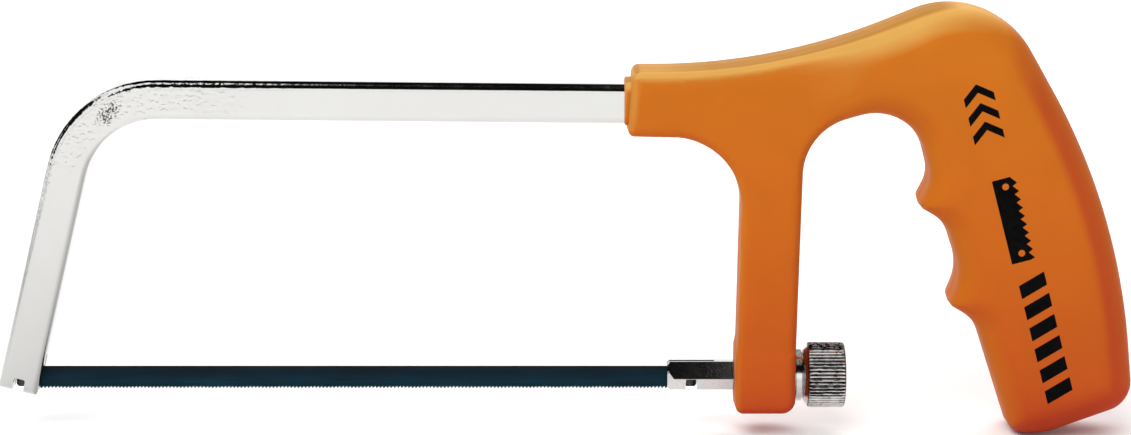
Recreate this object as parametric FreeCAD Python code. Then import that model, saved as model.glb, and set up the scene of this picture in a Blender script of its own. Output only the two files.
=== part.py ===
import FreeCAD, Part
import math
import os

# Junior hacksaw, millimetres. +X runs from the nose of the bow to the grip, +Z is up, and
# Y = 0 is the middle plane of the blade. The origin is under the middle of the saw, at its
# lowest level.

V = FreeCAD.Vector

# Further than any part of the saw reaches from the origin.
REACH = 200.0

# Bow: one square steel bar, bent twice. Its rear leg is hidden inside the arm of the handle.
BAR = 8.7
BAR_EDGE = 1.8
BEND_R = 20.6
BOW_NOSE = (-104.9, 74.8)
BOW_REAR = (45.0, 73.43)
LEG_SLANT = 14.0
LEG_LENGTH = 67.6
NOSE_END_R = 0.8
TANG_END_Z = 7.5
TANG_HOLE_D = 5.6

# Blade: a standard six inch pin-end blade.
PIN_SPACING = 148.0
FRONT_PIN_X = -120.2
PIN_Z = 11.3
PIN_D = 1.5
PIN_LENGTH = 6.4
PIN_CHAMFER = 0.15
BLADE_T = 0.65
BLADE_TOP = 14.15
BLADE_BOTTOM = 9.1
BLADE_END = 1.6
BLADE_CORNER_R = 0.8
TEETH_PITCH = 3.2
TEETH_DEPTH = 0.4
TEETH_FROM_END = 4.0
TOOTH_FLANK = 0.1

# Slots and notches that hold the blade.
SLIT = 1.0
SLIT_DEPTH = 8.8
PIN_GAP = 0.06
NOSE_NOTCH = 2.5
NOSE_NOTCH_DEPTH = 3.15
NOSE_NOTCH_R = 0.5

# Tension rod: a square bar on its corner, slotted at the tip, with a round threaded shank.
ROD_Z = 12.2
ROD_SIDE = 5.9
ROD_HALF_HEIGHT = 3.2
ROD_TIP_X = 22.9
ROD_SHOULDER_X = 40.1
ROD_CHAMFER = 1.4
ROD_SLIT_LENGTH = 10.4
SHANK_D = 5.0
SHANK_END_X = 60.5
ROD_TRAVEL = 0.8
ROD_TRAVEL_SPARE = 0.1

# Ferrule and thumb nut behind the foot of the arm.
FERRULE_D = 11.6
FERRULE_SLEEVE_D = 8.0
FERRULE_BORE_D = 5.6
FERRULE_X = (51.35, 52.55)
NUT_D = 14.5
NUT_X = (52.6, 62.3)
NUT_HUB_D = 10.4
NUT_HUB = 0.5
NUT_CHAMFER = 1.5
NUT_END_CHAMFER = 0.8
NUT_BORE_D = 5.1
NUT_RECESS_D = 9.0
NUT_RECESS = 0.9
NUT_RIBS = 24
NUT_RIB_DEPTH = 0.35
NUT_GROOVE = 0.7

# Handle: two moulded shells, split on the middle plane.
ARM_HALF = 7.6
GRIP_HALF = 11.8
FOOT_HALF = 8.1
WALL = 2.6
EDGE_R = 1.4
LIP_X = (13.1, 16.0)
LIP_MARGIN = 0.5
LIP_R = 2.2
FIT_GAP = 0.05
GUIDE_GAP = 0.08
OUTLINE = [
    (13.6, 66.85, 1.6), (14.6, 81.5, 1.9), (45.9, 81.6, 131.0), (92.7, 100.65, 20.3),
    (121.6, 50.3, 144.5), (125.9, 7.2, 7.0), (105.5, -0.28, 16.2), (98.7, 0.38, 4.2),
    (90.3, 25.8, 9.6), (84.2, 29.35, 1.7), (87.0, 36.4, 11.3), (83.25, 47.75, 8.85),
    (76.95, 51.45, 1.9), (79.95, 57.4, 7.45), (75.4, 74.55, 11.2), (52.45, 68.1, 12.7),
    (51.0, 4.8, 3.2), (37.75, 4.65, 1.9), (38.85, 64.6, 15.5), (24.9, 66.6, 2.5),
]
POCKET = [
    (62.0, 76.2, 3.0), (62.0, 84.5, 3.0), (91.5, 95.5, 18.0), (119.0, 46.5, 120.0),
    (121.8, 9.5, 2.5), (106.5, 3.2, 8.0), (101.4, 3.2, 2.0), (94.4, 26.6, 8.0),
    (89.0, 31.5, 3.0), (93.4, 44.2, 8.0), (82.4, 53.2, 3.0), (83.6, 59.5, 6.0),
    (79.0, 76.2, 9.0),
]
FOOT = [(37.65, 4.6, 2.0), (51.3, 4.65, 3.2), (51.3, 18.9, 1.5), (37.65, 18.9, 2.0)]
PLAN = [
    (10.0, ARM_HALF, 0.0), (51.0, ARM_HALF, 45.0), (77.0, GRIP_HALF, 45.0), (130.0, GRIP_HALF, 0.0),
]

# Screws that clamp the shells, from the right side.
SCREWS = [(52.5, 78.6), (85.0, 85.5), (98.5, 57.0), (107.5, 19.0)]
SCREW_D = 3.0
SCREW_SEAT_Y = 4.6
SCREW_LENGTH = 10.0
SCREW_HEAD_D = 5.6
SCREW_HEAD = 2.2
SCREW_HEAD_R = 0.9
SCREW_TIP = 0.8
SCREW_CROSS = (3.2, 0.7, 1.1)
SCREW_TIP_ROOM = 0.3
SCREW_HOLE_D = 3.1
SCREW_WELL_D = 6.2
BOSS_LEFT_D = 7.0
BOSS_RIGHT_D = 9.4


def unit(a, b):
    """Unit direction from point a to point b."""
    length = math.dist(a, b)
    return (b[0] - a[0]) / length, (b[1] - a[1]) / length


def corner_arc(before, corner, after, radius):
    """Start, middle and end of the arc that rounds one corner."""
    ax, az = unit(corner, before)
    bx, bz = unit(corner, after)
    half = math.acos(max(-1.0, min(1.0, ax * bx + az * bz))) / 2
    cut = radius / math.tan(half)
    mx, mz = unit((0, 0), (ax + bx, az + bz))
    reach = radius / math.sin(half) - radius
    start = (corner[0] + ax * cut, corner[1] + az * cut)
    middle = (corner[0] + mx * reach, corner[1] + mz * reach)
    end = (corner[0] + bx * cut, corner[1] + bz * cut)
    return start, middle, end


def rounded_wire(corners, place):
    """Closed wire of straight lines and tangent arcs; place turns two numbers into a point."""
    arcs = []
    for i, (x, z, radius) in enumerate(corners):
        if radius == 0:
            arcs.append(((x, z), None, (x, z)))
            continue
        before = corners[i - 1][:2]
        after = corners[(i + 1) % len(corners)][:2]
        arcs.append(corner_arc(before, (x, z), after, radius))
    edges = []
    for i, (start, middle, end) in enumerate(arcs):
        if middle:
            edges.append(Part.Arc(place(*start), place(*middle), place(*end)).toShape())
        following = arcs[(i + 1) % len(arcs)][0]
        if math.dist(end, following) > 1e-4:
            edges.append(Part.LineSegment(place(*end), place(*following)).toShape())
    return Part.Wire(edges)


def side_plate(corners, y0, y1):
    """Solid plate with an outline in the XZ plane, from y0 to y1."""
    wire = rounded_wire(corners, lambda x, z: V(x, y0, z))
    return Part.Face(wire).extrude(V(0, y1 - y0, 0))


def box(x0, x1, y0, y1, z0, z1):
    """Block between two values on each axis."""
    return Part.makeBox(x1 - x0, y1 - y0, z1 - z0, V(x0, y0, z0))


def rod_x(diameter, x0, x1):
    """Cylinder along X on the axis of the tension rod."""
    return Part.makeCylinder(diameter / 2, x1 - x0, V(x0, 0, ROD_Z), V(1, 0, 0))


def pin_y(diameter, x, z, y0, y1):
    """Cylinder along Y."""
    return Part.makeCylinder(diameter / 2, y1 - y0, V(x, y0, z), V(0, 1, 0))


def leg_point(along, across=0.0):
    """Point in the XZ plane, measured from the end of the front leg, up it and across it."""
    slant = math.radians(LEG_SLANT)
    up = (math.sin(slant), math.cos(slant))
    base_x = BOW_NOSE[0] - up[0] * LEG_LENGTH
    base_z = BOW_NOSE[1] - up[1] * LEG_LENGTH
    return base_x + up[0] * along + up[1] * across, base_z + up[1] * along - up[0] * across


def side_step(point, direction, offset):
    """Square corner set to the left of a direction."""
    return point[0] - direction[1] * offset, point[1] + direction[0] * offset, 0.0


def bent_corner(before, corner, after, offset):
    """Corner of a line that runs beside a bent path, with the radius of its bend."""
    ax, az = unit(before, corner)
    bx, bz = unit(corner, after)
    turn = math.atan2(ax * bz - az * bx, ax * bx + az * bz)
    nx, nz = unit((0, 0), (-az - bz, ax + bx))
    reach = offset / math.cos(turn / 2)
    radius = BEND_R + (offset if turn < 0 else -offset)
    return corner[0] + nx * reach, corner[1] + nz * reach, radius


def bow_strip(gap=0.0, start=0.0):
    """Outline of the bow from the side, wider than the bar by a gap on each side."""
    nose_end = leg_point(start)
    tang_end = (BOW_REAR[0], TANG_END_Z - gap)
    strip = []
    for side in (1, -1):
        offset = side * (BAR / 2 + gap)
        row = [side_step(nose_end, unit(nose_end, BOW_NOSE), offset)]
        row.append(bent_corner(nose_end, BOW_NOSE, BOW_REAR, offset))
        row.append(bent_corner(BOW_NOSE, BOW_REAR, tang_end, offset))
        row.append(side_step(tang_end, unit(BOW_REAR, tang_end), offset))
        strip += row[::side]
    return strip


def rounded_bar(corners, half, radius):
    """Plate with its long edges rounded."""
    plate = side_plate(corners, -half, half)
    flat = [e for e in plate.Edges if abs(e.CenterOfMass.y) > half - 1e-6]
    return plate.makeFillet(radius, flat)


def frame_bow():
    """Bent bar with a slit and a cross notch in its nose and a round hole in its tang."""
    bow = rounded_bar(bow_strip(), BAR / 2, BAR_EDGE)
    bow = bow.common(side_plate(nose_limit(), -BAR, BAR))
    slit = [leg_point(along, across) + (0.0,) for along, across in
            ((-BAR, -BAR), (-BAR, BAR), (SLIT_DEPTH, BAR), (SLIT_DEPTH, -BAR))]
    bow = bow.cut(side_plate(slit, -SLIT / 2, SLIT / 2))
    bow = bow.cut(side_plate(nose_notch(), -BAR, BAR))
    return bow.cut(rod_x(TANG_HOLE_D, BOW_REAR[0] - BAR, BOW_REAR[0] + BAR))


def nose_limit():
    """Outline around the whole bow that rounds the two corners at the end of its front leg."""
    corners = [(0.0, -BAR / 2, NOSE_END_R), (BAR / 2, -BAR / 2, 0.0), (BAR / 2, -BAR, 0.0)]
    corners += [(REACH, -BAR, 0.0), (REACH, REACH, 0.0), (BAR / 2, REACH, 0.0)]
    corners += [(BAR / 2, BAR / 2, 0.0), (0.0, BAR / 2, NOSE_END_R)]
    return [leg_point(along, side) + (radius,) for along, side, radius in corners]


def nose_notch():
    """Cross notch in the end of the front leg; the front pin bears on its rear wall."""
    wall = FRONT_PIN_X + PIN_D / 2 + PIN_GAP
    end_x, end_z = leg_point(0)
    slant = math.radians(LEG_SLANT)
    across = (wall - end_x) * math.cos(slant) - (PIN_Z - end_z) * math.sin(slant)
    front = across - NOSE_NOTCH
    corners = [
        (-BAR, front, 0.0), (NOSE_NOTCH_DEPTH, front, NOSE_NOTCH_R),
        (NOSE_NOTCH_DEPTH, across, NOSE_NOTCH_R), (-BAR, across, 0.0),
    ]
    return [leg_point(along, side) + (radius,) for along, side, radius in corners]


def blade():
    """Thin strip with raked teeth, and a hole for each pin."""
    x0 = FRONT_PIN_X - BLADE_END
    x1 = FRONT_PIN_X + PIN_SPACING + BLADE_END
    gullet = BLADE_BOTTOM + TEETH_DEPTH
    corners = [(x0, gullet, 0.0), (x0, BLADE_TOP, BLADE_CORNER_R)]
    corners += [(x1, BLADE_TOP, BLADE_CORNER_R), (x1, gullet, 0.0)]
    first = x0 + TEETH_FROM_END
    count = int((x1 - x0 - 2 * TEETH_FROM_END) / TEETH_PITCH)
    for i in reversed(range(count)):
        left = first + i * TEETH_PITCH
        corners.append((left + TEETH_PITCH, gullet, 0.0))
        corners.append((left + TOOTH_FLANK, BLADE_BOTTOM, 0.0))
    corners.append((first, gullet, 0.0))
    strip = side_plate(corners, -BLADE_T / 2, BLADE_T / 2)
    for x in (FRONT_PIN_X, FRONT_PIN_X + PIN_SPACING):
        strip = strip.cut(pin_y(PIN_D, x, PIN_Z, -BLADE_T, BLADE_T))
    return strip


def blade_pin(x):
    """Cross pin of the blade, chamfered at both ends."""
    pin = pin_y(PIN_D, x, PIN_Z, -PIN_LENGTH / 2, PIN_LENGTH / 2)
    rims = [e for e in pin.Edges if abs(abs(e.CenterOfMass.y) - PIN_LENGTH / 2) < 0.01]
    return pin.makeChamfer(PIN_CHAMFER, rims)


def diamond(side, half_height, x0, x1):
    """Square bar on its corner, with the top and bottom corners cut flat."""
    half = side / math.sqrt(2)
    flat = half - half_height
    points = [(-half, 0), (-flat, half_height), (flat, half_height), (half, 0)]
    points += [(flat, -half_height), (-flat, -half_height)]
    ring = [V(x0, y, ROD_Z + z) for y, z in points]
    return Part.Face(Part.makePolygon(ring + ring[:1])).extrude(V(x1 - x0, 0, 0))


def tension_rod():
    """Diamond bar, turned to a cone at its tip, with a slit, a pin notch and a threaded shank."""
    head = diamond(ROD_SIDE, ROD_HALF_HEIGHT, ROD_TIP_X, ROD_SHOULDER_X)
    outer = ROD_SIDE / math.sqrt(2)
    cone = Part.makeCone(outer - ROD_CHAMFER, outer, ROD_CHAMFER, V(ROD_TIP_X, 0, ROD_Z), V(1, 0, 0))
    turned = cone.fuse(rod_x(outer * 2, ROD_TIP_X + ROD_CHAMFER, ROD_SHOULDER_X))
    rod = head.common(turned).fuse(rod_x(SHANK_D, ROD_SHOULDER_X - 1, SHANK_END_X))
    slit_end = ROD_TIP_X + ROD_SLIT_LENGTH
    rod = rod.cut(box(ROD_TIP_X - 1, slit_end, -SLIT / 2, SLIT / 2, 0, 2 * ROD_Z))
    pin_x = FRONT_PIN_X + PIN_SPACING
    front = pin_x - PIN_D / 2 - PIN_GAP
    rear = pin_x + PIN_D / 2 + PIN_GAP + ROD_TRAVEL + ROD_TRAVEL_SPARE
    return rod.cut(box(front, rear, -BAR, BAR, 0, PIN_Z + PIN_D / 2 + PIN_GAP))


def rod_ferrule():
    """Flanged steel sleeve that the nut bears on."""
    sleeve = rod_x(FERRULE_SLEEVE_D, BOW_REAR[0] + BAR / 2 + FIT_GAP, FERRULE_X[1])
    flange = rod_x(FERRULE_D, FERRULE_X[0], FERRULE_X[1])
    bore = rod_x(FERRULE_BORE_D, BOW_REAR[0], FERRULE_X[1] + 1)
    return flange.fuse(sleeve).cut(bore).removeSplitter()


def nut_profile():
    """Half section of the thumb nut, as distance along the axis and radius."""
    x0, x1 = NUT_X
    r = NUT_D / 2
    points = [(x0, NUT_BORE_D / 2), (x0, NUT_HUB_D / 2), (x0 + NUT_HUB, NUT_HUB_D / 2)]
    points += [(x0 + NUT_HUB, r - NUT_CHAMFER), (x0 + NUT_HUB + NUT_CHAMFER, r)]
    points += [(x1 - NUT_END_CHAMFER, r), (x1, r - NUT_END_CHAMFER), (x1, NUT_RECESS_D / 2)]
    points += [(x1 - NUT_RECESS, NUT_RECESS_D / 2), (x1 - NUT_RECESS, NUT_BORE_D / 2)]
    return points


def thumb_nut():
    """Round nut with straight ribs along its rim."""
    ring = [V(x, 0, ROD_Z + r) for x, r in nut_profile()]
    nut = Part.Face(Part.makePolygon(ring + ring[:1])).revolve(V(0, 0, ROD_Z), V(1, 0, 0), 360)
    grooves = []
    for i in range(NUT_RIBS):
        angle = 360 / NUT_RIBS * (i + 0.5)
        floor = NUT_D / 2 - NUT_RIB_DEPTH
        groove = box(NUT_X[0] + NUT_HUB, NUT_X[1] + 1, -NUT_GROOVE / 2, NUT_GROOVE / 2, floor, NUT_D)
        groove.translate(V(0, 0, ROD_Z))
        groove.rotate(V(0, 0, ROD_Z), V(1, 0, 0), angle)
        grooves.append(groove)
    return nut.cut(Part.makeCompound(grooves))


def plan_block():
    """Block seen from above: slim over the arm, swelling to the grip."""
    near = [(x, -y, radius) for x, y, radius in reversed(PLAN)]
    wire = rounded_wire(PLAN + near, lambda x, y: V(x, y, -REACH))
    return Part.Face(wire).extrude(V(0, 0, 2 * REACH))


def half_space(side):
    """Everything on one side of the middle plane: 1 for the right, -1 for the left."""
    y0, y1 = (0, REACH) if side > 0 else (-REACH, 0)
    return box(-REACH, REACH, y0, y1, -REACH, REACH)


def bow_axis_z(x):
    """Height of the middle of the top bar of the bow."""
    slope = (BOW_REAR[1] - BOW_NOSE[1]) / (BOW_REAR[0] - BOW_NOSE[0])
    return BOW_NOSE[1] + slope * (x - BOW_NOSE[0])


def lip():
    """Collar of the handle round the bar, in front of its flat nose."""
    edge = BAR / 2 + LIP_MARGIN
    middle = bow_axis_z(LIP_X[0])
    block = box(*LIP_X, -edge, edge, middle - edge, middle + edge)
    length = LIP_X[1] - LIP_X[0]
    return block.makeFillet(LIP_R, [e for e in block.Edges if abs(e.Length - length) < 0.01])


def handle_body():
    """Outer shape of both shells together, before it is hollowed and split."""
    body = side_plate(OUTLINE, -2 * GRIP_HALF, 2 * GRIP_HALF).common(plan_block())
    rim = [e for e in body.Edges if abs(e.CenterOfMass.y) > ARM_HALF - 0.01]
    body = body.makeFillet(EDGE_R, rim)
    foot = rounded_bar(FOOT, FOOT_HALF, EDGE_R)
    return body.fuse([foot, lip()])


def screw_bosses(diameter):
    """Posts that hold the screws inside the hollow grip."""
    return Part.makeCompound([pin_y(diameter, x, z, -2 * GRIP_HALF, 2 * GRIP_HALF) for x, z in SCREWS])


def handle_hollow(boss_d):
    """Everything that is cut out of a shell, apart from its screw holes."""
    channel = rounded_bar(bow_strip(FIT_GAP, BEND_R), BAR / 2 + FIT_GAP, BAR_EDGE)
    pocket = side_plate(POCKET, WALL - GRIP_HALF, GRIP_HALF - WALL).cut(screw_bosses(boss_d))
    tang = BOW_REAR[0]
    guide_side = ROD_SIDE + 2 * GUIDE_GAP
    guide = diamond(guide_side, ROD_HALF_HEIGHT + GUIDE_GAP, ROD_TIP_X, tang)
    sleeve = rod_x(FERRULE_SLEEVE_D + 2 * FIT_GAP, tang, FERRULE_X[1])
    return [channel, pocket, guide, sleeve]


def handle_shell_left():
    """Near shell, with blind holes for the screws."""
    shell = handle_body().common(half_space(-1))
    shell = shell.cut(handle_hollow(BOSS_LEFT_D))
    tip = SCREW_SEAT_Y - SCREW_LENGTH - SCREW_TIP_ROOM
    return shell.cut([pin_y(SCREW_HOLE_D, x, z, tip, 1) for x, z in SCREWS])


def handle_shell_right():
    """Far shell, with a deep well for the head of each screw."""
    shell = handle_body().common(half_space(1))
    shell = shell.cut(handle_hollow(BOSS_RIGHT_D))
    shell = shell.cut([pin_y(SCREW_HOLE_D, x, z, -1, SCREW_SEAT_Y + 1) for x, z in SCREWS])
    return shell.cut([pin_y(SCREW_WELL_D, x, z, SCREW_SEAT_Y, 2 * GRIP_HALF) for x, z in SCREWS])


def handle_screw(x, z):
    """Pan head screw with a cross recess."""
    tip = SCREW_SEAT_Y - SCREW_LENGTH
    shank = pin_y(SCREW_D, x, z, tip, SCREW_SEAT_Y)
    shank = shank.makeChamfer(SCREW_TIP, [e for e in shank.Edges if abs(e.CenterOfMass.y - tip) < 0.01])
    top = SCREW_SEAT_Y + SCREW_HEAD
    head = pin_y(SCREW_HEAD_D, x, z, SCREW_SEAT_Y, top)
    head = head.makeFillet(SCREW_HEAD_R, [e for e in head.Edges if abs(e.CenterOfMass.y - top) < 0.01])
    long, short, deep = SCREW_CROSS
    for width, height in ((long, short), (short, long)):
        recess = box(x - width / 2, x + width / 2, top - deep, top + 1, z - height / 2, z + height / 2)
        head = head.cut(recess)
    return head.fuse(shank)


def save(name, shape):
    """Write one sub-part and print its solids, validity, volume and box."""
    solids = shape.Solids
    whole = solids[0] if len(solids) == 1 else Part.makeCompound(solids)
    whole.exportStep(f"parts/{name}.step")
    b = whole.optimalBoundingBox()
    spans = [round(v, 2) for v in (b.XMin, b.XMax, b.YMin, b.YMax, b.ZMin, b.ZMax)]
    print(name, len(solids), whole.isValid(), round(whole.Volume, 1), spans)


os.makedirs("parts", exist_ok=True)
save("frame_bow", frame_bow())
save("blade", blade())
save("blade_pin_front", blade_pin(FRONT_PIN_X))
save("blade_pin_rear", blade_pin(FRONT_PIN_X + PIN_SPACING))
save("tension_rod", tension_rod())
save("rod_ferrule", rod_ferrule())
save("thumb_nut", thumb_nut())
save("handle_shell_left", handle_shell_left())
save("handle_shell_right", handle_shell_right())
save("handle_screws", Part.makeCompound([handle_screw(x, z) for x, z in SCREWS]))
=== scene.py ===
import math

import bmesh
import bpy
import numpy as np
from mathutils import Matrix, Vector
from mathutils.geometry import delaunay_2d_cdt


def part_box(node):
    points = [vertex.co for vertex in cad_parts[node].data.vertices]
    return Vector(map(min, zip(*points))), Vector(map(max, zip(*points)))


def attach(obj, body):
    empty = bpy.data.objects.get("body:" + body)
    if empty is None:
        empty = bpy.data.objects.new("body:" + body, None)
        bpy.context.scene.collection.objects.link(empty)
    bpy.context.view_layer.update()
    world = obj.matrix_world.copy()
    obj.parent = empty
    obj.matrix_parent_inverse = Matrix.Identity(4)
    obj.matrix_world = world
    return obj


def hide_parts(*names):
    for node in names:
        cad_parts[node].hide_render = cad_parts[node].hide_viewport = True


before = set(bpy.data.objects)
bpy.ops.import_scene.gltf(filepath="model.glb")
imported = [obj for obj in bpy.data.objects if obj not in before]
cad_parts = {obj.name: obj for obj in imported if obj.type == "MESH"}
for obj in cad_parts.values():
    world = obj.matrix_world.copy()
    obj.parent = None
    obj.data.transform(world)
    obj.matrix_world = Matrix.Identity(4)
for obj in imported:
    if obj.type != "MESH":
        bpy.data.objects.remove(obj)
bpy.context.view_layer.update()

# A junior hacksaw. Sizes are millimetres and MM turns them into the scene's metres. The CAD bow,
# tension rod, pins and screws keep their shape and get their finish here. The handle shells,
# thumb nut and blade are finer meshes that stand for their CAD nodes.

MM = 0.001

# Handle, seen from the side: corners as x, z and the radius that rounds them.
OUTLINE = [
    (13.6, 66.85, 1.6), (14.6, 81.5, 1.9), (45.9, 81.6, 131.0), (92.7, 100.65, 20.3),
    (121.6, 50.3, 144.5), (125.9, 7.2, 7.0), (105.5, -0.28, 16.2), (98.7, 0.38, 4.2),
    (90.3, 25.8, 9.6), (84.2, 29.35, 1.7), (87.0, 36.4, 11.3), (83.25, 47.75, 8.85),
    (76.95, 51.45, 1.9), (79.95, 57.4, 7.45), (75.4, 74.55, 11.2), (52.45, 68.1, 12.7),
    (51.3, 18.5, 2.0), (51.3, 4.65, 3.2), (37.65, 4.6, 2.0), (37.65, 18.2, 2.5),
    (38.02, 20.3, 2.5), (38.85, 65.0, 15.3), (24.9, 66.6, 2.5),
]
ARM_HALF = 7.6
GRIP_HALF = 11.7
SWELL_X = (48.0, 80.0)
FOOT_SWELL = 0.45
FOOT_X = 53.0
FOOT_Z = (18.4, 19.3)
ARM_EDGE_R = 2.3
GRIP_EDGE_R = 7.0
CROWN = 0.5
CROWN_REACH = 13.0
DRAFT = 0.2
SEAM_GAP = 0.03
SEAM_CHAMFER = 0.12
RIM = 1.3
RIM_RINGS = 7
RIM_CLEAR = 0.35
RIM_BLEND = 2.4
OUTLINE_STEP = 0.6
OUTLINE_TURN = 7
CLOSE_POINTS = 0.02
GRID_STEP = 0.6
GRID_MARGIN = 3
BLUR_MM = 1.1
SHELL_SHARP = 38
TOOL_SHARP = 35

# Collar round the bar, and wells for the screws.
LIP_X = (13.1, 16.0)
LIP_HALF = (5.2, 4.9)
LIP_CORNER_R = 2.2
LIP_Z = 73.95
LIP_ROUNDING = ((0.0, 0.55), (0.08, 0.3), (0.25, 0.1), (0.5, 0.0), (LIP_X[1] - LIP_X[0], 0.0))
SCREWS = [(52.5, 78.6), (85.0, 85.5), (98.5, 57.0), (107.5, 19.0)]
SCREW_SEAT_Y = 4.6
SCREW_WELL_R = 3.1

# Printed marks.
MARK_STEP = 0.6
MARK_PROUD = 0.03
MARK_THICK = 0.05
MARK_SLIVER = 0.004
MARK_TOOTH = 1.1

# Blade.
TEETH_PITCH = 0.794
TOOTH_RAKE = 0.16
TOOTH_HEIGHT = 0.5
BLADE_ROWS = (0.0, 0.06, 0.35, 0.6, 0.78, 0.9, 1.0)
WAVE_LENGTH = 6.4
WAVE_SET = 0.14
WAVE_HEIGHT = 0.9
PLAIN_END = 3.2
FIRST_TOOTH = 3.6
LAST_TOOTH = 4.0
BLADE_CORNER = 0.5
BLADE_TOP_EDGE = 0.12
BLADE_SHARP = 30

# Thumb nut.
NUT_RIBS = 54
RIB_STEPS = 8
RIB_DEPTH = 0.34
RIB_ROWS = 18
RIB_CHIP = 0.16
RIB_SEED = 5
NUT_SHARP = 28
NUT_AXIS_Z = 12.2
NUT_RADIUS = 7.25
# Painted shade in the nut's grooves.
GROOVE_SHADE = 0.03


def smooth(low, high, value):
    t = np.clip((np.asarray(value, float) - low) / (high - low), 0, 1)
    return t * t * (3 - 2 * t)


# ---------------------------------------------------------------- outline of the handle

def unit(vector):
    return vector / np.linalg.norm(vector)


def sample_corner(before, corner, after, radius, step):
    """Points round one corner, following its arc."""
    a, b = unit(before - corner), unit(after - corner)
    half = math.acos(np.clip(a @ b, -1, 1)) / 2
    centre = corner + unit(a + b) * radius / math.sin(half)
    start = corner + a * radius / math.tan(half)
    turn = math.pi - 2 * half
    count = max(2, math.ceil(turn * radius / step), math.ceil(math.degrees(turn) / OUTLINE_TURN))
    spin = 1 if a[0] * b[1] - a[1] * b[0] < 0 else -1
    angles = np.linspace(0, turn * spin, count + 1)
    arm = start - centre
    x = arm[0] * np.cos(angles) - arm[1] * np.sin(angles)
    z = arm[0] * np.sin(angles) + arm[1] * np.cos(angles)
    return centre + np.stack([x, z], axis=1)


def sample_outline(corners, step):
    """Closed run of points along lines and tangent arcs, with inward normals."""
    spots = [np.array(c[:2]) for c in corners]
    arcs = []
    for i, corner in enumerate(corners):
        after = spots[(i + 1) % len(spots)]
        arcs.append(sample_corner(spots[i - 1], spots[i], after, corner[2], step))
    points = []
    for i, arc in enumerate(arcs):
        points.append(arc)
        following = arcs[(i + 1) % len(arcs)][0]
        gap = np.linalg.norm(following - arc[-1])
        inner = np.linspace(0, 1, max(1, math.ceil(gap / step)) + 1)[1:-1, None]
        points.append(arc[-1] + (following - arc[-1]) * inner)
    points = np.concatenate(points)
    keep = np.linalg.norm(points - np.roll(points, 1, axis=0), axis=1) > CLOSE_POINTS
    points = points[keep]
    along = np.roll(points, -1, axis=0) - np.roll(points, 1, axis=0)
    along /= np.linalg.norm(along, axis=1)[:, None]
    return points, np.stack([along[:, 1], -along[:, 0]], axis=1)


EDGE, INWARD = sample_outline(OUTLINE, OUTLINE_STEP)


def edge_distance(points):
    """Distance from each point to the outline; negative outside it."""
    a, b = EDGE, np.roll(EDGE, -1, axis=0)
    ab = b - a
    length2 = (ab ** 2).sum(axis=1)
    result = np.empty(len(points))
    for start in range(0, len(points), 4096):
        p = points[start:start + 4096, None, :]
        t = np.clip(((p - a) * ab).sum(axis=2) / length2, 0, 1)
        result[start:start + 4096] = np.linalg.norm(p - a - t[..., None] * ab, axis=2).min(axis=1)
        crosses = (a[:, 1] > p[..., 1]) != (b[:, 1] > p[..., 1])
        at = a[:, 0] + ab[:, 0] * (p[..., 1] - a[:, 1]) / np.where(ab[:, 1] == 0, 1e-9, ab[:, 1])
        inside = (crosses & (p[..., 0] < at)).sum(axis=1) % 2 == 1
        result[start:start + 4096] *= np.where(inside, 1, -1)
    return result


# ---------------------------------------------------------------- thickness of the handle

def half_width(x, z):
    """Half thickness of the flat of the side: slim arm, thicker foot, full grip."""
    swell = smooth(*SWELL_X, x)
    foot = FOOT_SWELL * (1 - smooth(*FOOT_Z, z)) * (x < FOOT_X)
    return ARM_HALF + (GRIP_HALF - ARM_HALF) * swell + foot


def edge_radius(x):
    return ARM_EDGE_R + (GRIP_EDGE_R - ARM_EDGE_R) * smooth(*SWELL_X, x)


def half_at(distance, x, z):
    """Half thickness at a distance in from the outline."""
    half, radius = half_width(x, z), edge_radius(x)
    inside = np.clip(radius - (distance - DRAFT), 0, radius)
    crown = CROWN * smooth(*SWELL_X, x) * (1 - np.clip(distance / CROWN_REACH, 0, 1)) ** 2
    return half - radius + np.sqrt(radius ** 2 - inside ** 2) - crown


def blur(field, cells):
    """Gaussian blur of a grid, one axis after the other."""
    reach = math.ceil(cells * 3)
    kernel = np.exp(-0.5 * (np.arange(-reach, reach + 1) / cells) ** 2)
    kernel /= kernel.sum()
    for axis in (0, 1):
        field = np.apply_along_axis(lambda row: np.convolve(row, kernel, "same"), axis, field)
    return field


class SideField:
    """Softened half thickness over the whole side of the handle."""

    def __init__(self):
        self.low = EDGE.min(axis=0) - GRID_MARGIN
        size = np.ceil((EDGE.max(axis=0) + GRID_MARGIN - self.low) / GRID_STEP).astype(int)
        ix, iz = np.meshgrid(np.arange(size[0]), np.arange(size[1]), indexing="ij")
        points = self.low + np.stack([ix, iz], axis=2).reshape(-1, 2) * GRID_STEP
        self.points = points
        self.distance = edge_distance(points)
        inside = (self.distance > 0).astype(float).reshape(size)
        sharp = half_at(np.clip(self.distance, 0, None), points[:, 0], points[:, 1]).reshape(size)
        cells = BLUR_MM / GRID_STEP
        soft = blur(sharp * inside, cells) / np.maximum(blur(inside, cells), 1e-3)
        self.change = soft - sharp

    def half(self, points, distance):
        """Half thickness at points whose distance in from the outline is known."""
        spot = (points - self.low) / GRID_STEP
        cell = np.clip(spot.astype(int), 0, np.array(self.change.shape) - 2)
        f = spot - cell
        i, j = cell[:, 0], cell[:, 1]
        change = (self.change[i, j] * (1 - f[:, 0]) * (1 - f[:, 1])
                  + self.change[i + 1, j] * f[:, 0] * (1 - f[:, 1])
                  + self.change[i, j + 1] * (1 - f[:, 0]) * f[:, 1]
                  + self.change[i + 1, j + 1] * f[:, 0] * f[:, 1])
        share = smooth(RIM, RIM + RIM_BLEND, distance)
        return half_at(distance, points[:, 0], points[:, 1]) + change * share


SIDE = SideField()


# ---------------------------------------------------------------- mesh helpers

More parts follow.
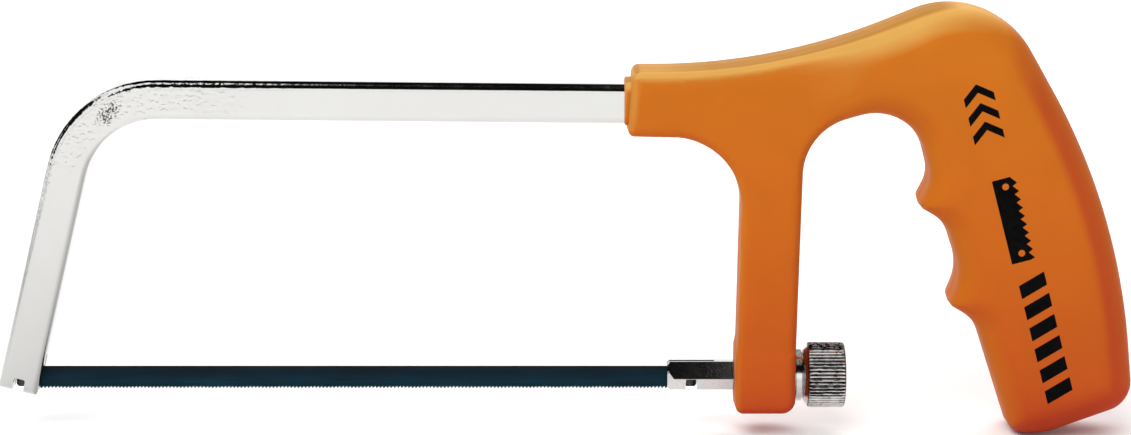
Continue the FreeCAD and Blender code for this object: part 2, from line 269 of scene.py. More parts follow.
def make_object(name, vertices, faces):
    """Mesh object from points in millimetres."""
    mesh = bpy.data.meshes.new(name)
    mesh.from_pydata((np.asarray(vertices, float) * MM).tolist(), [], faces)
    mesh.validate()
    obj = bpy.data.objects.new(name, mesh)
    bpy.context.scene.collection.objects.link(obj)
    return obj


def shade(obj, angle):
    """Smooth shading that leaves edges sharper than an angle crisp."""
    obj.data.shade_smooth()
    obj.data.set_sharp_from_angle(angle=math.radians(angle))
    return obj


def fill_outline(ring, inner):
    """Triangles that fill a closed ring of 2D points through extra points inside it."""
    spots = [Vector(p) for p in ring] + [Vector(p) for p in inner]
    count = len(ring)
    found = delaunay_2d_cdt(spots, [], [list(range(count))], 1, 1e-6)
    origin = [o[0] for o in found[3]]
    return [[origin[v] for v in face] for face in found[2]]


def bridge(first, second, count, flip=False):
    """Quads between two closed rings of vertices that start at first and second."""
    faces = []
    for i in range(count):
        j = (i + 1) % count
        face = [first + i, first + j, second + j, second + i]
        faces.append(face[::-1] if flip else face)
    return faces


def loft(name, rings):
    """Closed solid through a row of rings with the same number of points."""
    count = len(rings[0])
    faces = []
    for k in range(len(rings) - 1):
        faces += bridge(k * count, (k + 1) * count, count)
    faces.append(list(range(count))[::-1])
    faces.append(list(range((len(rings) - 1) * count, len(rings) * count)))
    return shade(make_object(name, np.concatenate(rings), faces), TOOL_SHARP)


def face_outward(obj):
    """Turn every face of a closed mesh outwards."""
    work = bmesh.new()
    work.from_mesh(obj.data)
    bmesh.ops.recalc_face_normals(work, faces=work.faces)
    work.to_mesh(obj.data)
    work.free()
    return obj


def combine(target, tool, operation):
    """Join a tool to a mesh or cut it away, and remove the tool."""
    face_outward(target)
    face_outward(tool)
    step = target.modifiers.new("combine", "BOOLEAN")
    step.operation = operation
    step.solver = "EXACT"
    step.object = tool
    graph = bpy.context.evaluated_depsgraph_get()
    result = bpy.data.meshes.new_from_object(target.evaluated_get(graph))
    target.modifiers.clear()
    target.data = result
    bpy.data.objects.remove(tool)
    return target


# ---------------------------------------------------------------- handle shells

def shell_rings():
    """Rings of the near wall: seam, drafted wall, then the start of the rounded edge."""
    x, z = EDGE[:, 0], EDGE[:, 1]
    wall = half_width(x, z) - edge_radius(x) - CROWN * smooth(*SWELL_X, x)
    rings = [(np.full(len(x), SEAM_CHAMFER), np.full(len(x), SEAM_GAP))]
    rings.append((np.zeros(len(x)), np.full(len(x), SEAM_GAP + SEAM_CHAMFER)))
    for share in (0.35, 0.7, 1.0):
        rings.append((np.full(len(x), DRAFT * share), wall * share))
    for k in range(1, RIM_RINGS):
        distance = np.full(len(x), DRAFT + RIM * (k / (RIM_RINGS - 1)) ** 2)
        inset = EDGE + INWARD * distance[:, None]
        rings.append((distance, half_at(distance, inset[:, 0], inset[:, 1])))
    return rings


def handle_shell(name, side):
    """One moulded half of the handle; side is -1 for the left and 1 for the right."""
    count = len(EDGE)
    vertices = []
    for distance, half in shell_rings():
        flat = EDGE + INWARD * distance[:, None]
        vertices.append(np.stack([flat[:, 0], side * half, flat[:, 1]], axis=1))
    rings = len(vertices)
    faces = []
    for k in range(rings - 1):
        faces += bridge(k * count, (k + 1) * count, count, side > 0)
    rim = vertices[-1][:, [0, 2]]
    deep = SIDE.distance > RIM + DRAFT + RIM_CLEAR
    inner = SIDE.points[deep]
    half = SIDE.half(inner, SIDE.distance[deep])
    vertices.append(np.stack([inner[:, 0], side * half, inner[:, 1]], axis=1))
    start = (rings - 1) * count
    for face in fill_outline(rim, inner):
        faces.append([start + v for v in (face if side < 0 else face[::-1])])
    seam = vertices[0][:, [0, 2]]
    for face in fill_outline(seam, []):
        faces.append(face if side > 0 else face[::-1])
    shell = make_object(name, np.concatenate(vertices), faces)
    combine(shell, lip_half(side), "UNION")
    if side > 0:
        for x, z in SCREWS:
            combine(shell, screw_well(x, z), "DIFFERENCE")
    return shade(shell, SHELL_SHARP)


def lip_half(side):
    """Half of the rounded collar that the bar passes through."""
    wide, high = LIP_HALF
    r = LIP_CORNER_R
    turns = np.radians(np.linspace(0, 90, 8))
    corner = [(wide - r + r * math.cos(t), high - r + r * math.sin(t)) for t in turns]
    half = [(SEAM_GAP, -high)] + [(y, -z) for y, z in corner[::-1]] + corner + [(SEAM_GAP, high)]
    profile = np.array(half)
    rings = []
    for x, inset in LIP_ROUNDING:
        ring = profile * (high - inset) / high
        ring[[0, -1], 0] = SEAM_GAP
        across = np.full(len(ring), LIP_X[0] + x)
        rings.append(np.stack([across, side * ring[:, 0], LIP_Z + ring[:, 1]], axis=1))
    return loft("lip_tool", rings)


def screw_well(x, z):
    """Round cutter from the seat of a screw head outwards."""
    turns = np.radians(np.arange(0, 360, 9))
    rings = []
    for y in (SCREW_SEAT_Y, 2 * GRIP_HALF):
        ring = [(x + SCREW_WELL_R * math.cos(t), y, z + SCREW_WELL_R * math.sin(t)) for t in turns]
        rings.append(np.array(ring))
    return loft("well_tool", rings)


# ---------------------------------------------------------------- printed marks

def mark(name, loops, centre, tilt):
    """Thin printed shape on the near side; loops inside loops are left open."""
    turn = math.radians(tilt)
    spin = np.array([[math.cos(turn), -math.sin(turn)], [math.sin(turn), math.cos(turn)]])
    placed = [np.array(loop) @ spin.T + np.array(centre) for loop in loops]
    spots, edges = [], []
    for loop in placed:
        fine = refine_loop(loop, MARK_STEP)
        first = len(spots)
        spots += [Vector(p) for p in fine]
        edges += [(first + i, first + (i + 1) % len(fine)) for i in range(len(fine))]
    found = delaunay_2d_cdt(spots, edges, [], 0, 1e-6)
    flat = np.array([tuple(v) for v in found[0]])
    faces = []
    for face in found[2]:
        a, b, c = flat[list(face)]
        solid = abs((b[0] - a[0]) * (c[1] - a[1]) - (b[1] - a[1]) * (c[0] - a[0])) > MARK_SLIVER
        if solid and sum(inside_loop((a + b + c) / 3, loop) for loop in placed) % 2 == 1:
            faces.append(list(face))
    distance = edge_distance(flat)
    half = SIDE.half(flat, distance) + MARK_PROUD
    top = np.stack([flat[:, 0], -half, flat[:, 1]], axis=1)
    obj = make_object(name, top, faces)
    trim_loose(obj)
    return obj


def refine_loop(loop, step):
    """The loop with extra points so that no side is longer than step."""
    points = []
    for a, b in zip(loop, np.roll(loop, -1, axis=0)):
        count = max(1, math.ceil(np.linalg.norm(b - a) / step))
        points += [a + (b - a) * i / count for i in range(count)]
    return points


def inside_loop(point, loop):
    a, b = loop, np.roll(loop, -1, axis=0)
    ab = b - a
    crosses = (a[:, 1] > point[1]) != (b[:, 1] > point[1])
    at = a[:, 0] + ab[:, 0] * (point[1] - a[:, 1]) / np.where(ab[:, 1] == 0, 1e-9, ab[:, 1])
    return bool((crosses & (point[0] < at)).sum() % 2)


def trim_loose(obj):
    """Drop points that no face uses, and give the print its thickness."""
    work = bmesh.new()
    work.from_mesh(obj.data)
    bmesh.ops.delete(work, geom=[v for v in work.verts if not v.link_faces], context="VERTS")
    bmesh.ops.recalc_face_normals(work, faces=work.faces)
    if work.faces and sum(f.normal.y for f in work.faces) > 0:
        bmesh.ops.reverse_faces(work, faces=work.faces)
    bmesh.ops.solidify(work, geom=work.faces, thickness=MARK_THICK * MM)
    work.to_mesh(obj.data)
    work.free()


def round_loop(radius, y):
    turns = np.radians(np.arange(0, 360, 20))
    return [(radius * math.cos(t), y + radius * math.sin(t)) for t in turns]


def chevron_loop(width, rise, thick, y):
    half = width / 2
    lower = [(-half, y), (0, y + rise), (half, y)]
    return lower + [(x, z + thick) for x, z in lower[::-1]]


def slanted_bar_loop(width, height, lean, y):
    half = width / 2
    return [(-half, y), (half, y + lean), (half, y + lean + height), (-half, y + height)]


def toothed_loop(width, length, teeth):
    """Bar with a straight back and a row of saw teeth."""
    root = width / 2 - MARK_TOOTH
    loop = [(-width / 2, -length / 2), (root, -length / 2)]
    pitch = length / teeth
    for i in range(teeth):
        low = i * pitch - length / 2
        loop += [(width / 2, low + 0.15 * pitch), (root, low + 0.9 * pitch)]
    return loop + [(root, length / 2), (-width / 2, length / 2)]


# ---------------------------------------------------------------- blade

def blade_mesh():
    """Thin strip with fine teeth and a wavy set, between the pins' ends."""
    low, high = [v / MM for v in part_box("blade")]
    half = (high.y - low.y) / 2
    gullet = low.z + TOOTH_HEIGHT
    columns = [(low.x, gullet + BLADE_CORNER), (low.x + 0.4, gullet), (low.x + PLAIN_END, gullet)]
    x = low.x + FIRST_TOOTH
    while x < high.x - LAST_TOOTH:
        columns += [(x, gullet), (x + TOOTH_RAKE, low.z), (x + TOOTH_RAKE + 0.06, low.z)]
        x += TEETH_PITCH
    columns += [(high.x - PLAIN_END, gullet), (high.x - 0.4, gullet), (high.x, gullet + BLADE_CORNER)]
    vertices, rows = [], len(BLADE_ROWS)
    for side in (-1, 1):
        for x, bottom in columns:
            end = min(x - low.x, high.x - x)
            top = high.z - BLADE_CORNER * (1 - smooth(0, 0.8, end))
            for share in BLADE_ROWS:
                z = top + (bottom - top) * share
                wave = WAVE_SET * math.sin(2 * math.pi * x / WAVE_LENGTH)
                shift = wave * float(smooth(gullet + WAVE_HEIGHT, low.z, z))
                thin = BLADE_TOP_EDGE if share == 0 else 0.0
                vertices.append((x, side * (half - thin) + shift, z))
    faces = []
    count = len(columns)

    def at(side, i, row):
        return side * count * rows + i * rows + row

    for i in range(count - 1):
        for row in range(rows - 1):
            faces.append([at(0, i, row), at(0, i, row + 1), at(0, i + 1, row + 1), at(0, i + 1, row)])
            faces.append([at(1, i, row), at(1, i + 1, row), at(1, i + 1, row + 1), at(1, i, row + 1)])
        for row in (0, rows - 1):
            faces.append([at(0, i, row), at(0, i + 1, row), at(1, i + 1, row), at(1, i, row)])
    for i in (0, count - 1):
        for row in range(rows - 1):
            faces.append([at(0, i, row), at(1, i, row), at(1, i, row + 1), at(0, i, row + 1)])
    blade = make_object("blade_strip", vertices, faces)
    return shade(face_outward(blade), BLADE_SHARP)


# ---------------------------------------------------------------- turned parts

def turned(name, profile, z, steps, radius_at):
    """Ring-shaped solid round the rod's axis; profile is a closed run of x and radius."""
    turns = np.arange(steps) * 2 * math.pi / steps
    vertices = []
    for x, radius in profile:
        r = radius_at(x, radius, turns)
        vertices.append(np.stack([np.full(steps, x), -r * np.sin(turns), z + r * np.cos(turns)], axis=1))
    faces = []
    for k in range(len(profile)):
        faces += bridge(k * steps, (k + 1) % len(profile) * steps, steps)
    obj = make_object(name, np.concatenate(vertices), faces)
    return shade(face_outward(obj), NUT_SHARP)


def nut_mesh():
    """Thumb nut with straight, coarsely rolled ribs that run out into its chamfers."""
    low, high = [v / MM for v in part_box("thumb_nut")]
    x0, x1 = low.x, high.x
    radius = (high.z - low.z) / 2
    deep = radius - RIB_DEPTH - 0.12
    start, end = x0 + 1.85, x1 - 0.85
    rows = np.linspace(start, end, RIB_ROWS)
    chips = np.random.default_rng(RIB_SEED).random((RIB_ROWS, NUT_RIBS)) ** 2
    profile = [
        (x0, 2.6), (x0, 4.9), (x0 + 0.08, 5.1), (x0 + 0.25, 5.15), (x0 + 0.3, radius - 1.75),
        (x0 + 1.35, deep), (x0 + 1.42, radius - 0.3), (x0 + 1.6, radius - 0.08),
    ]
    profile += [(x, radius) for x in rows]
    profile += [
        (x1 - 0.5, radius - 0.08), (x1 - 0.25, radius - 0.26), (x1 - 0.12, deep),
        (x1 - 0.02, deep - 0.3), (x1, deep - 0.5), (x1, 4.7), (x1 - 0.2, 4.5), (x1 - 0.9, 4.4),
        (x1 - 0.9, 2.6),
    ]

    def ribbed(x, r, turns):
        if r <= deep:
            return np.full(len(turns), r)
        wave = 0.5 - 0.5 * np.cos(turns * NUT_RIBS)
        rib = (turns * NUT_RIBS / (2 * math.pi) + 1e-6).astype(int) % NUT_RIBS
        row = int(round(np.clip((x - start) / (end - start), 0, 1) * (RIB_ROWS - 1)))
        return np.minimum(r, radius - RIB_DEPTH * wave ** 1.6 - RIB_CHIP * chips[row, rib])

    return turned("knurled_nut", profile, (low.z + high.z) / 2, NUT_RIBS * RIB_STEPS, ribbed)


# ---------------------------------------------------------------- shader helpers

def new_material(name):
    material = bpy.data.materials.new(name)
    material.use_nodes = True
    return material, material.node_tree, material.node_tree.nodes["Principled BSDF"]


def axes(tree, space):
    """X, Y and Z of a point's place, of its normal, or of a direction in the world."""
    where = tree.nodes.new("ShaderNodeTexCoord")
    split = tree.nodes.new("ShaderNodeSeparateXYZ")
    tree.links.new(where.outputs[space], split.inputs["Vector"])
    return split.outputs["X"], split.outputs["Y"], split.outputs["Z"]


def noise(tree, scale, detail=3.0, stretch=(1, 1, 1), rough=0.55):
    """Noise in object space, with a scale per metre and a stretch per axis."""
    where = tree.nodes.new("ShaderNodeTexCoord")
    mapping = tree.nodes.new("ShaderNodeMapping")
    tree.links.new(where.outputs["Object"], mapping.inputs["Vector"])
    mapping.inputs["Scale"].default_value = stretch
    texture = tree.nodes.new("ShaderNodeTexNoise")
    texture.inputs["Scale"].default_value = scale
    texture.inputs["Detail"].default_value = detail
    texture.inputs["Roughness"].default_value = rough
    tree.links.new(mapping.outputs["Vector"], texture.inputs["Vector"])
    return texture.outputs["Fac"]


def remap(tree, value, low, high, new_low, new_high):
    """Value moved from low..high to new_low..new_high and kept inside it."""
    node = tree.nodes.new("ShaderNodeMapRange")
    tree.links.new(value, node.inputs["Value"])
    names = ("From Min", "From Max", "To Min", "To Max")
    for socket, number in zip(names, (low, high, new_low, new_high)):
        node.inputs[socket].default_value = number
    return node.outputs["Result"]


def soft_step(tree, value, low, high):
    """Soft step from 0 at low to 1 at high."""
    return remap(tree, value, low, high, 0.0, 1.0)


def ramp(tree, value, stops):
    node = tree.nodes.new("ShaderNodeValToRGB")
    tree.links.new(value, node.inputs["Fac"])
    elements = node.color_ramp.elements
    while len(elements) < len(stops):
        elements.new(0.5)
    for element, (position, colour) in zip(elements, stops):
        element.position = position
        element.color = (*colour, 1.0)
    return node.outputs["Color"]


def mix_colour(tree, share, a, b, blend="MIX"):
    """Colours a and b, mixed or blended by a share; each can be a socket or a fixed value."""
    node = tree.nodes.new("ShaderNodeMix")
    node.data_type = "RGBA"
    node.blend_type = blend
    for socket, value in ((node.inputs[0], share), (node.inputs[6], a), (node.inputs[7], b)):
        if isinstance(value, bpy.types.NodeSocket):
            tree.links.new(value, socket)
        else:
            socket.default_value = value if isinstance(value, float) else (*value, 1.0)
    return node.outputs[2]


def maths(tree, operation, a, b=0.0):
    node = tree.nodes.new("ShaderNodeMath")
    node.operation = operation
    for socket, value in zip(node.inputs, (a, b)):
        if isinstance(value, bpy.types.NodeSocket):
            tree.links.new(value, socket)
        else:
            socket.default_value = value
    return node.outputs["Value"]


def product(tree, *values):
    result = values[0]
    for value in values[1:]:
        result = maths(tree, "MULTIPLY", result, value)
    return result


def grey(tree, value):
    node = tree.nodes.new("ShaderNodeCombineColor")
    for channel in ("Red", "Green", "Blue"):
        tree.links.new(value, node.inputs[channel])
    return node.outputs["Color"]


def darken(tree, colour, share):
    """Colour times a grey share."""
    return mix_colour(tree, 1.0, colour, grey(tree, share), "MULTIPLY")


def set_colour(tree, shader, colour):
    tree.links.new(colour, shader.inputs["Base Color"])


def set_roughness(tree, shader, rough):
    tree.links.new(rough, shader.inputs["Roughness"])


def bump(tree, shader, height, strength, distance=0.00006):
    node = tree.nodes.new("ShaderNodeBump")
    node.inputs["Strength"].default_value = strength
    node.inputs["Distance"].default_value = distance
    tree.links.new(height, node.inputs["Height"])
    tree.links.new(node.outputs["Normal"], shader.inputs["Normal"])


# ---------------------------------------------------------------- materials, sized in metres

# Handle plastic: tones from the toe of the grip up to the top of its hump, darker and redder lower down
# as painted shade.
PLASTIC_HEIGHT = 0.095
PLASTIC_SHADED_TONES = [
    (0.0, (0.41, 0.045, 0.017)), (0.07, (0.47, 0.068, 0.014)), (0.14, (0.50, 0.088, 0.013)),
    (0.45, (0.525, 0.118, 0.012)), (0.8, (0.53, 0.140, 0.012)), (1.0, (0.54, 0.154, 0.013)),
]
# Painted light on the plastic: a painted highlight on faces turned up towards the light and on faces
# turned to the front, and painted shade on the very top faces, underneath and along the rear edge.
PAINTED_HIGHLIGHT_TONE = (0.66, 0.35, 0.085)
PAINTED_TOP_SHADE_TONE = (0.40, 0.17, 0.022)
FRONT_HIGHLIGHT_TONE = (0.55, 0.17, 0.010)
PAINTED_SHADE_TONE = (0.44, 0.048, 0.016)
HIGHLIGHT_TOWARDS = (-0.36, 0.0, 0.93)
HIGHLIGHT_FROM_Z = (0.064, 0.074)
HUMP_X = (0.062, 0.088)
REAR_X = (0.095, 0.103)
UNDERSIDE_Z = (0.012, 0.03)

# Bow: painted shade, darker towards the bottom and the nose, pitted where it was bent, with dark grit on
# the bend.
NICKEL_TONE = (0.690, 0.686, 0.672)
NICKEL_STAIN = (0.677, 0.670, 0.652)
LOW_SHADE_Z = (0.010, 0.072)
# Painted reflection of the dark blade on the leg's inner face.
BLADE_REFLECTION_TONE = (0.02, 0.02, 0.02)
LEG_X = (-0.088, -0.096)
BEND_X = (-0.055, -0.080)
BEND_Z = (0.045, 0.06)
SPECK_SPOT = (-0.0990, 0.0720)
SPECK_SIZE = (0.0056, 0.0030)
SPECK_TONE = (0.03, 0.028, 0.026)

# Blade: tones from its teeth up to its back.
BLADE_Z = (0.0094, 0.01425)
BLADE_TONES = [
    (0.0, (0.0015, 0.019, 0.030)), (0.35, (0.001, 0.016, 0.028)),
    (0.75, (0.001, 0.010, 0.018)), (1.0, (0.008, 0.010, 0.012)),
]


def orange_plastic():
    """Satin moulded plastic with painted light: a yellow painted highlight on top and towards the front,
    and painted shade in deeper red lower down, underneath and behind.
    """
    material, tree, shader = new_material("orange_plastic")
    x, _, z = axes(tree, "Object")
    back = axes(tree, "Normal")[0]
    # Painted shade: the tone darkens and reddens from the top down.
    tone = ramp(tree, soft_step(tree, z, 0.0, PLASTIC_HEIGHT), PLASTIC_SHADED_TONES)
    where = tree.nodes.new("ShaderNodeTexCoord")
    facing = tree.nodes.new("ShaderNodeVectorMath")
    facing.operation = "DOT_PRODUCT"
    tree.links.new(where.outputs["Normal"], facing.inputs[0])
    facing.inputs[1].default_value = HIGHLIGHT_TOWARDS
    side = facing.outputs["Value"]

    # Painted highlight: faces turned up towards the light go yellow, less so over the hump.
    upper = soft_step(tree, z, *HIGHLIGHT_FROM_Z)
    hump = remap(tree, x, *HUMP_X, 0.0, 0.34)
    painted_highlight = product(tree, soft_step(tree, maths(tree, "SUBTRACT", side, hump), 0.03, 0.5), upper)
    tone = mix_colour(tree, painted_highlight, tone, PAINTED_HIGHLIGHT_TONE)
    # Painted shade on the very top faces.
    crown = product(tree, remap(tree, side, 0.89, 0.96, 0.0, 0.9), upper)
    tone = mix_colour(tree, crown, tone, PAINTED_TOP_SHADE_TONE)
    # Painted highlight on faces turned towards the front.
    front = remap(tree, back, -0.4, -0.8, 0.0, 0.45)
    tone = mix_colour(tree, front, tone, FRONT_HIGHLIGHT_TONE)
    # Painted shade underneath and along the rear edge.
    deep = product(tree, soft_step(tree, side, -0.02, -0.5), remap(tree, z, *UNDERSIDE_Z, 0.9, 0.25))
    rear = product(tree, remap(tree, back, 0.14, 0.38, 0.0, 0.68),
                   remap(tree, back, 0.5, 0.85, 1.0, 0.3), soft_step(tree, x, *REAR_X))
    tone = mix_colour(tree, maths(tree, "MAXIMUM", deep, rear), tone, PAINTED_SHADE_TONE)

    cloud = remap(tree, noise(tree, 60.0), 0.3, 0.7, 0.96, 1.03)
    set_colour(tree, shader, darken(tree, tone, cloud))
    set_roughness(tree, shader, remap(tree, noise(tree, 240.0, 4.0), 0.3, 0.7, 0.38, 0.48))
    bump(tree, shader, noise(tree, 4200.0, rough=0.6), 0.18)
    shader.inputs["IOR"].default_value = 1.45
    shader.inputs["Specular IOR Level"].default_value = 0.03
    return material


def speck_share(tree, x, z):
    """How much grit covers the plating: grains inside an ellipse that lies along the bend."""
    dx = maths(tree, "SUBTRACT", x, SPECK_SPOT[0])
    dz = maths(tree, "SUBTRACT", z, SPECK_SPOT[1])
    reach = []
    for operation, size in zip(("ADD", "SUBTRACT"), SPECK_SIZE):
        share = maths(tree, "DIVIDE", maths(tree, operation, dx, dz), size)
        reach.append(maths(tree, "POWER", share, 2.0))
    near = remap(tree, maths(tree, "ADD", *reach), 0.0, 1.0, 0.16, 0.0)
    grit = maths(tree, "ADD", noise(tree, 2600.0, 2.0, rough=0.6), near)
    return product(tree, soft_step(tree, grit, 0.60, 0.68), remap(tree, near, 0.0, 0.02, 0.0, 0.9))


def plated_bar():
    """Bright nickel over a drawn bar: painted shade, darker towards the bottom, a painted reflection of
    the blade on the leg, rough and speckled where it was bent.
    """
    material, tree, shader = new_material("plated_bar")
    shader.inputs["Metallic"].default_value = 1.0
    x, _, z = axes(tree, "Object")
    stain = soft_step(tree, noise(tree, 90.0, 4.0), 0.35, 0.75)
    plating = mix_colour(tree, stain, NICKEL_TONE, NICKEL_STAIN)
    # Painted shade: the plating darkens towards the bottom.
    plating = darken(tree, plating, remap(tree, z, *LOW_SHADE_Z, 0.80, 1.0))
    # Painted reflection: the leg's face turned towards the blade goes near black, where the blade would
    # mirror in it.
    inner = product(tree, remap(tree, axes(tree, "Normal")[0], 0.35, 0.8, 0.0, 0.45),
                    soft_step(tree, x, *LEG_X))
    plating = mix_colour(tree, inner, plating, BLADE_REFLECTION_TONE)
    set_colour(tree, shader, mix_colour(tree, speck_share(tree, x, z), plating, SPECK_TONE))
    set_roughness(tree, shader, remap(tree, noise(tree, 420.0, 5.0), 0.35, 0.75, 0.07, 0.13))
    bent = product(tree, remap(tree, x, *BEND_X, 0.35, 4.4), remap(tree, z, *BEND_Z, 0.15, 1.0))
    peel = product(tree, noise(tree, 1150.0, 1.5, (0.75, 1.0, 1.0), 0.5), bent)
    lines = product(tree, noise(tree, 500.0, 3.0, (0.12, 1.0, 1.0)), 0.4)
    pits = product(tree, noise(tree, 1500.0, 2.0), 0.3)
    height = maths(tree, "ADD", lines, pits)
    bump(tree, shader, maths(tree, "ADD", height, peel), 0.4)
    return material


def plated_fitting(name, base, roughness, scale, strength):
    """Bright plating with a slightly mottled surface."""
    material, tree, shader = new_material(name)
    shader.inputs["Metallic"].default_value = 1.0
    patch = remap(tree, noise(tree, scale, 4.0), 0.35, 0.7, 0.82, 1.0)
    set_colour(tree, shader, darken(tree, base, patch))
    mottle = noise(tree, scale * 2.3, 4.0)
    set_roughness(tree, shader, remap(tree, mottle, 0.3, 0.7, roughness * 0.7, roughness * 1.5))
    bump(tree, shader, noise(tree, scale * 1.7, 4.0), strength)
    return material


def knurled_steel():
    """Plating on the nut, with painted shade in its grooves."""
    material = plated_fitting("knurled_steel", (0.66, 0.66, 0.66), 0.12, 900.0, 0.25)
    tree = material.node_tree
    shader = tree.nodes["Principled BSDF"]
    clean = shader.inputs["Base Color"].links[0].from_socket
    _, y, z = axes(tree, "Object")
    across = maths(tree, "POWER", maths(tree, "ABSOLUTE", y), 2.0)
    up = maths(tree, "ABSOLUTE", maths(tree, "SUBTRACT", z, NUT_AXIS_Z * MM))
    radius = maths(tree, "SQRT", maths(tree, "ADD", across, maths(tree, "POWER", up, 2.0)))
    outer = NUT_RADIUS * MM
    # Painted shade: the grooves darken nearly to black.
    groove_shade = remap(tree, radius, outer - 0.00034, outer - 0.00012, GROOVE_SHADE, 1.0)
    bare = remap(tree, radius, outer - 0.0006, outer - 0.00045, 1.0, 0.0)
    set_colour(tree, shader, darken(tree, clean, maths(tree, "MAXIMUM", groove_shade, bare)))
    return material


def blued_steel():
    """Blue-black strip, ground lengthwise, browner along its back."""
    material, tree, shader = new_material("blued_steel")
    tone = ramp(tree, soft_step(tree, axes(tree, "Object")[2], *BLADE_Z), BLADE_TONES)
    streak = remap(tree, noise(tree, 220.0, 4.0, (0.25, 1.0, 2.0)), 0.3, 0.75, 0.7, 1.4)
    set_colour(tree, shader, darken(tree, tone, streak))
    shader.inputs["Specular IOR Level"].default_value = 0.08
    ground = noise(tree, 700.0, 3.0, (0.1, 1.0, 1.0))
    set_roughness(tree, shader, remap(tree, ground, 0.3, 0.7, 0.34, 0.5))
    bump(tree, shader, noise(tree, 1600.0, 3.0, (0.05, 1.0, 1.0)), 0.2, 0.00003)
    return material


def pin_steel():
    material, tree, shader = new_material("pin_steel")
    shader.inputs["Metallic"].default_value = 0.7
    set_colour(tree, shader, grey(tree, remap(tree, noise(tree, 1500.0), 0.3, 0.7, 0.02, 0.07)))
    set_roughness(tree, shader, remap(tree, noise(tree, 2500.0), 0.3, 0.7, 0.3, 0.5))
    return material


def print_ink():
    """Black pad-printed ink, thin enough to show a little wear."""
    material, tree, shader = new_material("print_ink")
    wear = remap(tree, noise(tree, 900.0, 4.0), 0.3, 0.7, 0.0015, 0.004)
    set_colour(tree, shader, grey(tree, wear))
    set_roughness(tree, shader, remap(tree, noise(tree, 1300.0), 0.3, 0.7, 0.45, 0.6))
    shader.inputs["Specular IOR Level"].default_value = 0.02
    return material


def floor_paper():
    material, tree, shader = new_material("floor_paper")
    set_colour(tree, shader, grey(tree, remap(tree, noise(tree, 3.0, 2.0), 0.3, 0.7, 0.90, 0.93)))
    shader.inputs["Roughness"].default_value = 0.9
    return material


def dress(obj, material):
    obj.data.materials.clear()
    obj.data.materials.append(material)
    return obj


# ---------------------------------------------------------------- the saw

PLASTIC = orange_plastic()
INK = print_ink()
NICKEL = plated_bar()
FITTING = plated_fitting("plated_fitting", (0.76, 0.755, 0.74), 0.12, 700.0, 0.3)
ROD_FINISH = plated_fitting("plated_rod", (0.62, 0.61, 0.60), 0.06, 1500.0, 0.12)
SCREW_FINISH = plated_fitting("screw_zinc", (0.62, 0.62, 0.60), 0.3, 900.0, 0.3)
BLUED = blued_steel()
PIN = pin_steel()

for name, side in (("handle_left", -1), ("handle_right", 1)):
    shell = dress(handle_shell(name, side), PLASTIC)
    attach(shell, "frame")
    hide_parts("handle_shell_left" if side < 0 else "handle_shell_right")

# Three chevrons, a toothed bar with a hole near each end, and a row of slanted bars.
GRIP_TILT = 15.0
CHEVRONS = [chevron_loop(6.6, 2.6, 1.9, y) for y in (-6.4, -2.2, 2.0)]
TOOTHED_BAR = [toothed_loop(5.2, 19.0, 10), round_loop(0.75, 7.6), round_loop(0.75, -7.6)]
SLANTED_BARS = [slanted_bar_loop(6.0, 3.0, 1.8, -15.4 + 4.9 * i) for i in range(6)]
MARKS = {
    "mark_arrows": (CHEVRONS, (90.0, 73.3)),
    "mark_blade": (TOOTHED_BAR, (97.3, 49.8)),
    "mark_bars": (SLANTED_BARS, (104.9, 24.2)),
}
for name, (loops, centre) in MARKS.items():
    print_ = dress(mark(name, loops, centre, GRIP_TILT), INK)
    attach(print_, "frame")

nut = dress(nut_mesh(), knurled_steel())
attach(nut, "nut")
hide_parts("thumb_nut")

strip = dress(blade_mesh(), BLUED)
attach(strip, "saw_blade")
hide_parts("blade")

# The CAD pieces that stay as they are get their finish.
CAD_FINISH = {
    "frame_bow": NICKEL, "tension_rod": ROD_FINISH, "rod_ferrule": FITTING,
    "handle_screws": SCREW_FINISH, "blade_pin_front": PIN, "blade_pin_rear": PIN,
}
for node, material in CAD_FINISH.items():
    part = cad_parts[node]
    for slot in part.material_slots:
        slot.material = material

# ---------------------------------------------------------------- stage, light and camera, in metres

FLOOR_REACH = 6000.0
TARGET = Vector((0.0003, 0.0, 0.0479))
CAMERA_DISTANCE = 0.692
CAMERA_RAISE = 12.0
LENS = 100.04
SENSOR = 36.0

# Lamps: place, aim, size and watts.
KEY = ((-0.35, -0.75, 1.1), (0.05, 0, 0.05), (1.2, 0.9), 12.6)
REAR = ((0.1, 1.1, 1.0), (0.05, 0.3, 0.0), (1.6, 1.0), 21.0)

# World, by direction: brightness of each part and where it starts and ends.
WALL_LIGHT = 1.25
CEILING_LIGHT = 0.004
CEILING_FROM = (0.32, 0.38)
CEILING_DROP_LEFT = 0.275
DROP_X = (-0.72, -0.85)
DROP_ASIDE = (0.05, 0.1)
SOFT_BOX_LIGHT = 1.25
SOFT_BOX_X = ((-0.07, -0.10), (-0.70, -0.60))
SOFT_BOX_Y = 0.17
SOFT_BOX_EDGE = (-0.03, 0.03)
SOFT_BOX_Z = (0.22, 0.3)
PANEL_LIGHT = 0.7
PANEL_X = (0.065, 0.078)
PANEL_Y = (-0.1, 0.1)
STRIPE_X = ((0.071, 0.076), (0.105, 0.125))
STRIPE_Y = (-0.6, -0.4)


def stage():
    """Wide pale floor that the saw stands on."""
    far = FLOOR_REACH
    corners = [(-far, -far, 0), (far, -far, 0), (far, far, 0), (-far, far, 0)]
    floor = dress(make_object("floor", corners, [[0, 1, 2, 3]]), floor_paper())


def softbox(name, place, aim, size, power):
    """Rectangular area light that faces a point and isn't mirrored in the metal."""
    light = bpy.data.lights.new(name, "AREA")
    light.shape = "RECTANGLE"
    light.size, light.size_y = size
    light.energy = power
    lamp = bpy.data.objects.new(name, light)
    lamp.location = place
    lamp.rotation_euler = (Vector(aim) - Vector(place)).to_track_quat("-Z", "Y").to_euler()
    lamp.visible_glossy = False
    bpy.context.scene.collection.objects.link(lamp)


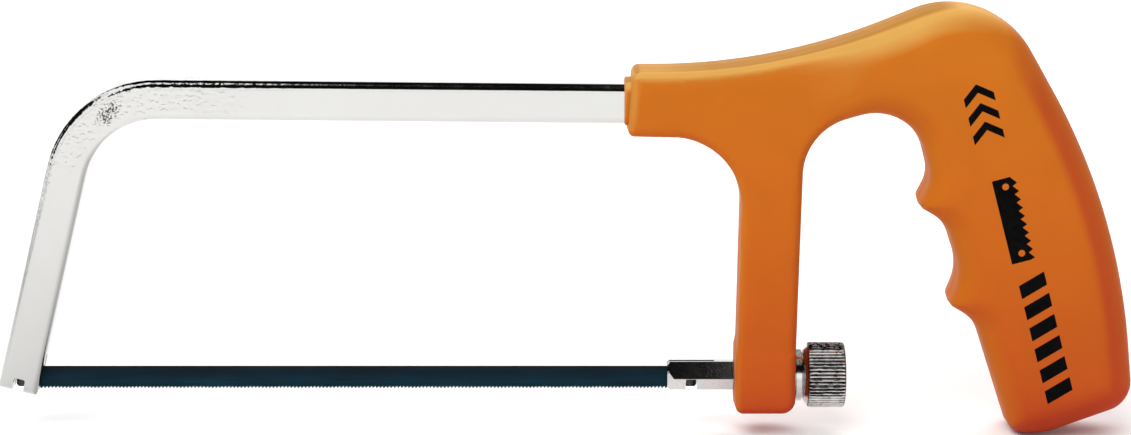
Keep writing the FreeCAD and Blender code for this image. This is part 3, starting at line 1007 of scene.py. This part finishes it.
def studio_world():
    """White walls under a dark ceiling, with a soft box on the left and a panel on the right."""
    world = bpy.data.worlds.new("studio")
    bpy.context.scene.world = world
    world.use_nodes = True
    tree = world.node_tree
    x, y, z = axes(tree, "Generated")

    # The dark ceiling reaches lower at the far left, except right behind the ends of the saw.
    off_end = soft_step(tree, maths(tree, "ABSOLUTE", y), *DROP_ASIDE)
    drop = product(tree, remap(tree, x, *DROP_X, 0.0, CEILING_DROP_LEFT), off_end)
    height = maths(tree, "ADD", z, drop)
    wall = remap(tree, height, *CEILING_FROM, WALL_LIGHT, CEILING_LIGHT)

    # The soft box gets wider in Y towards the left.
    across = product(tree, soft_step(tree, x, *SOFT_BOX_X[0]), soft_step(tree, x, *SOFT_BOX_X[1]))
    reach = remap(tree, x, -0.34, -0.56, SOFT_BOX_Y, 1.0)
    aside = maths(tree, "ABSOLUTE", maths(tree, "ADD", y, SOFT_BOX_Y))
    within = remap(tree, maths(tree, "SUBTRACT", aside, reach), *SOFT_BOX_EDGE, 1.0, 0.0)
    above = remap(tree, z, *SOFT_BOX_Z, 0.0, SOFT_BOX_LIGHT)
    soft_box = product(tree, across, within, above)

    # The panel lights the nut; its narrow stripe reaches further forward.
    panel = product(tree, remap(tree, x, *PANEL_X, 0.0, PANEL_LIGHT), soft_step(tree, y, *PANEL_Y))
    stripe = product(tree, remap(tree, x, *STRIPE_X[0], 0.0, PANEL_LIGHT),
                     remap(tree, x, *STRIPE_X[1], 1.0, 0.0), soft_step(tree, y, *STRIPE_Y))
    light = wall
    for patch in (soft_box, maths(tree, "MAXIMUM", panel, stripe)):
        light = maths(tree, "MAXIMUM", light, patch)
    background = tree.nodes["Background"]
    tree.links.new(grey(tree, light), background.inputs["Color"])
    background.inputs["Strength"].default_value = 1.0


def camera():
    data = bpy.data.cameras.new("camera")
    data.lens = LENS
    data.sensor_width = SENSOR
    eye = bpy.data.objects.new("camera", data)
    raised = math.radians(CAMERA_RAISE)
    eye.location = TARGET + Vector((0, -math.cos(raised), math.sin(raised))) * CAMERA_DISTANCE
    eye.rotation_euler = (TARGET - eye.location).to_track_quat("-Z", "Y").to_euler()
    bpy.context.scene.collection.objects.link(eye)
    bpy.context.scene.camera = eye


stage()
studio_world()
softbox("key", *KEY)
softbox("rear", *REAR)
camera()
bpy.context.scene.view_settings.view_transform = "Standard"
